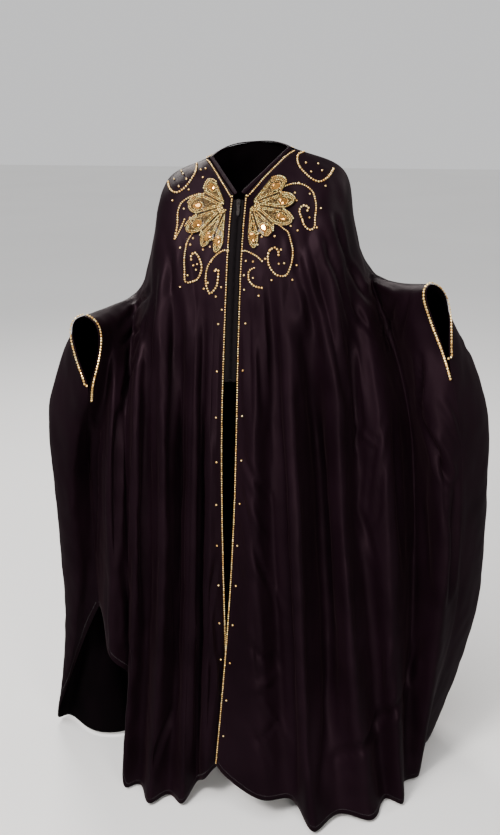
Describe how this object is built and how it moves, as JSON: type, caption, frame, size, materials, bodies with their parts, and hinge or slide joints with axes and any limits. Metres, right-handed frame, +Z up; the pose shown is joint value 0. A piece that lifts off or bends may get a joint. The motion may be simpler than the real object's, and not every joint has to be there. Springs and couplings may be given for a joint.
{
  "type": "abaya cloak",
  "caption": "Very wide farasha abaya as worn with arms bent, closed by a front zip, with a beaded V neck and floor-length folds that open into wing sleeves.",
  "frame": {"origin": "midway between the two neck points of the shoulder seams, where the wearer's shoulders carry the garment", "axes": "+Z up; the garment faces -Y; +X is the right-hand side as seen from the front"},
  "size_m": [1.0669, 0.607, 1.4745],
  "materials": {
    "satin": "satin crepe with a soft sheen",
    "zip_tape": "matte woven tape",
    "zip_metal": "dark polished metal",
    "beadwork": "gold beads and crystals"
  },
  "bodies": {
    "garment": {"back": "satin", "front_left": "satin", "front_right": "satin", "neck_binding": "satin", "motif_left": "beadwork", "motif_right": "beadwork", "zip_tape_left": "zip_tape", "zip_tape_right": "zip_tape", "zip_slider": "zip_metal", "zip_stop": "zip_metal"},
    "pull_tab": {"zip_pull": "zip_metal"}
  },
  "joints": [
    {"name": "pull_swing", "type": "hinge", "parent": "garment", "child": "pull_tab", "pos_m": [-0.00559, -0.12278, -0.08679], "axis": [-1, 0, 0], "range_deg": [0, 150]}
  ]
}
